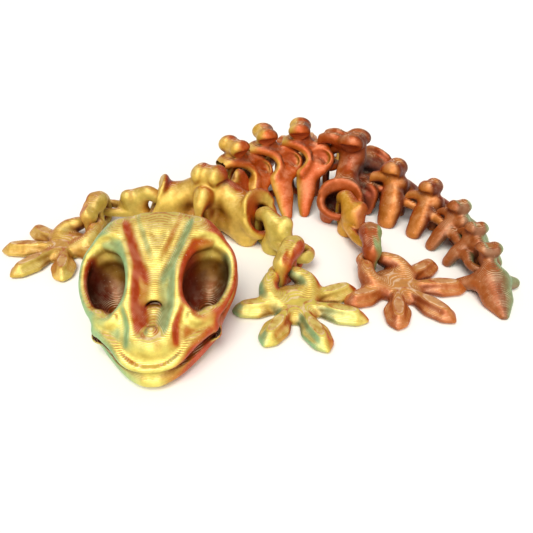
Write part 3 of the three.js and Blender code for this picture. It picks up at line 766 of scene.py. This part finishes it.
def skull(clay, **_):
    table = np.array(STATIONS)
    along = np.linspace(0, 1, 113)
    smooth = [np.interp(along, table[:, 0], table[:, i]) for i in (1, 2, 3)]
    for i in range(3):
        padded = np.pad(smooth[i], 5, mode="edge")
        smooth[i] = np.convolve(padded, np.ones(11) / 11, mode="valid")
    x, y, z = np.ix_(*clay.lines)
    t = x / SKULL_LENGTH
    half, top, under = (np.interp(t, along, s) for s in smooth)
    middle, tall = (top + under) / 2, np.maximum((top - under) / 2, 0.2)
    ring = np.sqrt((y / half) ** 2 + ((z - middle) / tall) ** 2)
    distance = (ring - 1) * np.minimum(half, tall)
    ends = np.maximum(table[0, 0] * SKULL_LENGTH - x, x - SKULL_LENGTH)
    clay.depth = np.maximum(distance, ends).astype(np.float32)
    # crown, brows and the waist behind the corners of the mouth
    clay.both([(46, 12.6, 25.6), (41.5, 15, 23.8), (38, 13.6, 22.6)], [5.4, 5.6, 5], blend=4)
    clay.both([(24.5, 26, 12), (27, 27.5, 9)], [4.6, 3], blend=5, cut=True)
    # ridges from the brows down the inner rims to the snout
    clay.both([(38, 11, 25.6), (30, 8.4, 23), (22, 7.6, 19), (15, 6.8, 15.4), (9.5, 4.6, 12.6), (7.6, 0, 11.8)],
              [2, 2.1, 2.1, 2, 1.8, 1.8], blend=2.6)
    # the eye sockets, and the rims round them
    clay.egg((30, 15.8, 21.8), (13.4, 9.2, 6.4), (22, 5, 9), (-0.42, 0.41, 0.81), blend=2.2, cut=True)
    clay.egg((31, 15.2, 15.5), (10.4, 7.6, 9), (22, 4, 5), (-0.2, 0.2, 0.9), blend=2, cut=True)
    clay.both([(42.6, 17.4, 25), (36.4, 10.4, 25.6), (27, 7.2, 22.8), (19.6, 7.6, 18.4), (16, 12.2, 15),
               (19.2, 17.2, 14.2), (25, 21, 15.2), (33, 23.2, 18), (40.4, 22.2, 21.8), (42.6, 17.4, 25)],
              [1.6, 1.5, 1.4, 1.4, 1.5, 1.5, 1.4, 1.3, 1.4, 1.6], blend=2.4)
    # the forehead between two grooves, and the valley down the face
    clay.both([(51, 9.2, 34.4), (45, 7.6, 32.6), (37, 4.8, 29.2), (30.5, 2.4, 26.0), (26.5, 1.0, 24.0)],
              [2.8, 3.2, 3.2, 2.6, 1.6], blend=1.6, cut=True)
    clay.egg((43, 0, 35.6), (15.5, 8.0, 5.4), (1, 0, 0.2), (0, 0, 1), blend=2.6, cut=True)
    clay.rod([(40, 0, 31.6), (34, 0, 29.0), (28.6, 0, 26.0)], [3.6, 3.2, 2.8], blend=2.0, cut=True)
    clay.rod([(27, 0, 26.6), (22, 0, 24), (18, 0, 21.6)], [3.6, 4.4, 4], blend=3, cut=True)
    clay.rod([(26, 0, 23.4), (20.5, 0, 20)], [0.5, 0.5], blend=0.6, cut=True)
    # the nostril hollow with its slit, and the bump below it
    clay.rod([(16.6, 0, 19.2), (12, 0, 17)], [4.2, 3.4], blend=2, cut=True)
    clay.rod([(17.0, 0, 16.5), (21.0, 0, 17.0)], [2.9, 2.4], flat=0.26, wide=(0, 1, 0), blend=0.4, cut=True)
    clay.ball((11.4, 0, 12.8), (2.8, 2.5, 2.6), blend=1.0)
    # the cheeks: a groove beside the snout, the cheek bone and the corner of the mouth
    clay.both([(16.4, 9.6, 18.4), (12, 8.2, 15.6), (8.6, 8.2, 12.8)], [1.0, 1.3, 0.7], blend=1.6, cut=True)
    clay.both([(19.5, 16, 14), (17.8, 16.6, 11), (18.6, 17.6, 7)], [1.8, 1.7, 1.8], blend=2.2)
    clay.across([(17.6, 16.6, 10.4), (14.6, 15, 10.9), (10.4, 11.2, 10.4), (6.2, 8, 8.8), (4, 4.4, 7.4), (3.4, 0, 7.0)],
              [1.5, 1.4, 1.4, 1.4, 1.3, 1.3], blend=1.6)
    clay.both([(22, 22.4, 1.6), (14, 17.8, 1.6), (8.8, 13.9, 1.6), (4.3, 10.6, 1.6), (1, 7.4, 1), (-1.4, 4.6, 1)],
              [3.4, 3.8, 3.8, 3.8, 3.7, 3.4], blend=1.2, cut=True)
    clay.across([(20.8, 16.6, 4.8), (15.2, 13.0, 3.9), (9.8, 9.0, 3.2), (5.8, 5.6, 3.1), (3.6, 2.6, 3.0), (3.0, 0, 3.0)],
              [2.0, 1.9, 1.8, 1.7, 1.6, 1.5], blend=1.2)
    clay.across([(18.4, 17.4, 8.2), (14.8, 14.9, 7.8), (10.0, 11.2, 7.1), (5.6, 7.4, 6.4), (3.0, 3.8, 5.9), (2.0, 0, 5.8)],
                [2.0, 1.6, 1.3, 1.2, 1.1, 1.0], blend=0.6, cut=True)
    level_ring(clay, SKULL_LENGTH - 10, RING_LEVEL, axis=SKULL_LENGTH)


def link_sizes(name):
    """How each piece is made: its maker, its sizes, its clay's corners and its colour code."""
    if name in SPINE:
        link = SPINE[name]
        if name == "tail_tip":
            return tail_leaf, {}, (-3, -14, -1), (30, 14, 18), "tail_end"
        if "socket" in link:
            corner = link["pitch"] + 8
            code = "collar" if name == "shoulder_girdle" else "hip"
            return girdle, link, (-4, -32, -1), (corner, 32, link["height"] + 2), code
        reach = link["span"] + 3
        corner = (link["pitch"] + 8, reach, link["height"] + 2)
        if name.startswith("trunk"):
            return trunk_link, link, (-5, -reach, -1), corner, "trunk"
        code = "tail" if name in ("tail_1", "tail_2") else "tail_end"
        return tail_link, link, (-5, -reach, -1), corner, code
    if name == "skull":
        return skull, {}, (-2, -28, -1), (SKULL_LENGTH + 7, 28, 34), "skull"
    if name == "neck":
        run = np.linalg.norm(PLACES["shoulder_girdle"][0] - PLACES["neck"][0])
        return neck_link, {"pitch": run}, (-4, -12, -1), (run + 8, 12, 20), "collar"
    side, bone = name.split("_")
    limb = LIMBS[side + ("_front" if bone in ("humerus", "forearm", "forefoot") else "_hind")]
    if bone in ("humerus", "femur"):
        far = "far_leg" if bone == "femur" else "far_arm"
        code = far if side == "right" else "leg" if bone == "femur" else "arm"
        return upper_limb, {"length": limb["upper"]}, (-4, -8, -1), (limb["upper"] + 8, 8, 19), code
    if bone in ("forearm", "shin"):
        far = "far_leg" if bone == "shin" else "far_arm"
        code = far if side == "right" else "shin" if bone == "shin" else "arm"
        return lower_limb, {"length": limb["lower"]}, (-4, -7, -1), (limb["lower"] + 4, 7, 19), code
    code = "hindfoot" if bone == "hindfoot" else "forefoot" if side == "left" else "far_arm"
    return foot, {"aside": 1 if side == "left" else -1}, (-8, -29, -1), (42, 29, 12), code


def make_link(name, cell, material):
    """Models one printed link in clay and puts its mesh on the frame."""
    maker, sizes, low, high, code = link_sizes(name)
    clay = Clay(low, high, cell)
    maker(clay, **sizes)
    clay.on_bed()
    points, faces, outward, shade = clay.skin()
    points[:, 2] = np.maximum(points[:, 2], 0)
    start, heading = PLACES[name]
    along = turned(heading)
    spun = points.copy()
    spun[:, 0] = points[:, 0] * along[0] - points[:, 1] * along[1] + start[0] + SHIFT[0]
    spun[:, 1] = points[:, 0] * along[1] + points[:, 1] * along[0] + start[1] + SHIFT[1]
    mesh = bpy.data.meshes.new("printed_" + name)
    mesh.vertices.add(len(spun))
    mesh.vertices.foreach_set("co", (spun * MM).astype(np.float32).ravel())
    mesh.loops.add(faces.size)
    mesh.loops.foreach_set("vertex_index", faces.astype(np.int32).ravel())
    mesh.polygons.add(len(faces))
    mesh.polygons.foreach_set("loop_start", np.arange(0, faces.size, 4, dtype=np.int32))
    mesh.polygons.foreach_set("use_smooth", np.ones(len(faces), bool))
    mesh.update(calc_edges=True)
    mesh.validate()
    # the colour attribute holds the filament's colour with painted shade in the hollows, and in its alpha how much each
    # point faces up
    filament_and_shade = mesh.color_attributes.new("filament", "FLOAT_COLOR", "POINT")
    colours = np.ones((len(spun), 4), np.float32)
    # the filament's colours by facing, with painted shade in the hollows
    colours[:, :3] = filament_colour_and_shade(outward, shade, code)
    colours[:, 3] = np.clip(outward[:, 2], 0, 1)
    filament_and_shade.data.foreach_set("color", colours.ravel())
    piece = bpy.data.objects.new("printed_" + name, mesh)
    bpy.context.scene.collection.objects.link(piece)
    piece.data.materials.append(material)
    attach(piece, name)
    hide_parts(name)
    return piece


def material_called(name, sizes):
    return bpy.data.materials.get(name) or silk_filament(name, sizes)


class GECKO_PG_sizes(bpy.types.PropertyGroup):
    cell: bpy.props.FloatProperty(
        name="Mesh size", description="Edge length of the mesh, in millimetres", default=0.5, min=0.2, max=2.0)
    roughness: bpy.props.FloatProperty(
        name="Roughness", description="Roughness of the silk filament", default=0.38, min=0, max=1)
    # layers are printed 0.2 mm high, and are drawn coarser so that they show
    layer: bpy.props.FloatProperty(
        name="Layer height", description="Height of the printed layers that show", default=0.3 * MM,
        subtype="DISTANCE", unit="LENGTH")
    line_dark: colour_setting("Dark lines", "Colour of the darker layer lines", "#b8401a")
    # the light layer lines are painted highlights along the layer edges
    line_highlight: colour_setting("Light lines", "Colour of the lighter layer lines", "#ffe6c2")
    # the colour of the painted glints in the filament
    painted_glints: colour_setting("Flecks", "Colour of the bright flecks in the filament", "#ffe9d0")
    paper: colour_setting("Floor", "Colour of the paper floor", "#f6f6f5")
    focal: bpy.props.FloatProperty(
        name="Focal length", description="Focal length in frame widths", default=550 / 533)
    camera_height: bpy.props.FloatProperty(
        name="Camera height", description="Height of the camera above the floor", default=116 * MM,
        subtype="DISTANCE", unit="LENGTH")
    camera_pitch: bpy.props.FloatProperty(
        name="Camera pitch", description="How far the camera looks down", default=math.radians(33.4),
        subtype="ANGLE", unit="ROTATION")


class LinkMaker:
    """What the operators that make links share."""

    bl_options = {"REGISTER", "UNDO"}
    names = ()

    def execute(self, context):
        sizes = context.scene.gecko
        cell = sizes.cell * 1
        for name in self.names:
            make_link(name, cell, material_called("silk PLA filament", sizes))
        return {"FINISHED"}


class GECKO_OT_skull(LinkMaker, bpy.types.Operator):
    """Makes the skull with its sockets, ridge and mouth"""

    bl_idname = "gecko.skull"
    bl_label = "Skull"
    names = ("skull",)


class GECKO_OT_spine(LinkMaker, bpy.types.Operator):
    """Makes the neck and the trunk's vertebrae"""

    bl_idname = "gecko.spine"
    bl_label = "Neck and trunk"
    names = ("neck", "trunk_1", "trunk_2", "trunk_3")


class GECKO_OT_girdles(LinkMaker, bpy.types.Operator):
    """Makes the shoulder and hip girdles with their sockets"""

    bl_idname = "gecko.girdles"
    bl_label = "Girdles"
    names = ("shoulder_girdle", "hip_girdle")


class GECKO_OT_tail(LinkMaker, bpy.types.Operator):
    """Makes the tail's vertebrae and its leaf-shaped tip"""

    bl_idname = "gecko.tail"
    bl_label = "Tail"
    names = ("tail_1", "tail_2", "tail_3", "tail_4", "tail_tip")


class GECKO_OT_limbs(LinkMaker, bpy.types.Operator):
    """Makes the limb bones"""

    bl_idname = "gecko.limbs"
    bl_label = "Limbs"
    names = ("left_humerus", "left_forearm", "right_humerus", "right_forearm", "left_femur", "left_shin",
             "right_femur", "right_shin")


class GECKO_OT_feet(LinkMaker, bpy.types.Operator):
    """Makes the feet with their petal-shaped toes"""

    bl_idname = "gecko.feet"
    bl_label = "Feet"
    names = ("left_forefoot", "right_forefoot", "left_hindfoot", "right_hindfoot")


def soft_light(name, bearing, height, spread, strength, colour):
    """A far, broad studio light from a bearing and height in degrees."""
    data = bpy.data.lights.new(name, "SUN")
    data.energy = strength
    data.angle = math.radians(spread)
    data.color = srgb(colour)
    lamp = bpy.data.objects.new(name, data)
    lamp.rotation_euler = (math.radians(90 - height), 0, math.radians(bearing))
    bpy.context.scene.collection.objects.link(lamp)
    return lamp


class GECKO_OT_stage(bpy.types.Operator):
    """Makes the floor, the studio light and the camera"""

    bl_idname = "gecko.stage"
    bl_label = "Stage"
    bl_options = {"REGISTER", "UNDO"}

    def execute(self, context):
        sizes = context.scene.gecko
        scene = context.scene
        half = FLOOR_PATCH / 2
        mesh = bpy.data.meshes.new("floor")
        mesh.from_pydata([(-half, -half, 0), (half, -half, 0), (half, half, 0), (-half, half, 0)], [], [(0, 1, 2, 3)])
        floor = bpy.data.objects.new("floor", mesh)
        scene.collection.objects.link(floor)
        paper = bpy.data.materials.new("white matt paper")
        paper.use_nodes = True
        shader = paper.node_tree.nodes["Principled BSDF"]
        shader.inputs["Base Color"].default_value = sizes.paper
        shader.inputs["Roughness"].default_value = 0.9
        mesh.materials.append(paper)
        world = bpy.data.worlds.new("studio")
        world.use_nodes = True
        background = world.node_tree.nodes["Background"]
        background.inputs["Color"].default_value = (*srgb("#ffffff"), 1)
        background.inputs["Strength"].default_value = 0.36
        scene.world = world
        soft_light("key", -20, 62, 40, 2.65, "#fff8ec")
        soft_light("front", 15, 30, 50, 1.0, "#fffdf8")
        data = bpy.data.cameras.new("camera")
        data.sensor_width = 36
        data.lens = sizes.focal * data.sensor_width
        data.clip_start = 0.01
        camera = bpy.data.objects.new("camera", data)
        camera.location = (SHIFT[0] * MM, SHIFT[1] * MM, sizes.camera_height)
        camera.rotation_euler = (math.pi / 2 - sizes.camera_pitch, 0, 0)
        scene.collection.objects.link(camera)
        scene.camera = camera
        scene.view_settings.view_transform = "Standard"
        return {"FINISHED"}


class GECKO_PT_panel(bpy.types.Panel):
    """Lists the gecko's pieces"""

    bl_idname = "GECKO_PT_panel"
    bl_label = "Jointed gecko skeleton"
    bl_space_type = "VIEW_3D"
    bl_region_type = "UI"
    bl_category = "Gecko"

    def draw(self, context):
        sizes = context.scene.gecko
        for key in ("cell", "roughness", "layer", "line_dark", "line_highlight", "painted_glints", "paper", "focal",
                    "camera_height", "camera_pitch"):
            self.layout.prop(sizes, key)
        for operator in OPERATORS:
            self.layout.operator(operator.bl_idname)


OPERATORS = (GECKO_OT_stage, GECKO_OT_skull, GECKO_OT_spine, GECKO_OT_girdles, GECKO_OT_tail, GECKO_OT_limbs,
             GECKO_OT_feet)
CLASSES = (GECKO_PG_sizes, *OPERATORS, GECKO_PT_panel)


def register():
    for kind in CLASSES:
        bpy.utils.register_class(kind)
    bpy.types.Scene.gecko = bpy.props.PointerProperty(type=GECKO_PG_sizes)


def unregister():
    del bpy.types.Scene.gecko
    for kind in reversed(CLASSES):
        bpy.utils.unregister_class(kind)


def main():
    register()
    bpy.ops.gecko.stage()
    bpy.ops.gecko.skull()
    bpy.ops.gecko.spine()
    bpy.ops.gecko.girdles()
    bpy.ops.gecko.tail()
    bpy.ops.gecko.limbs()
    bpy.ops.gecko.feet()


if __name__ == "__main__":
    main()
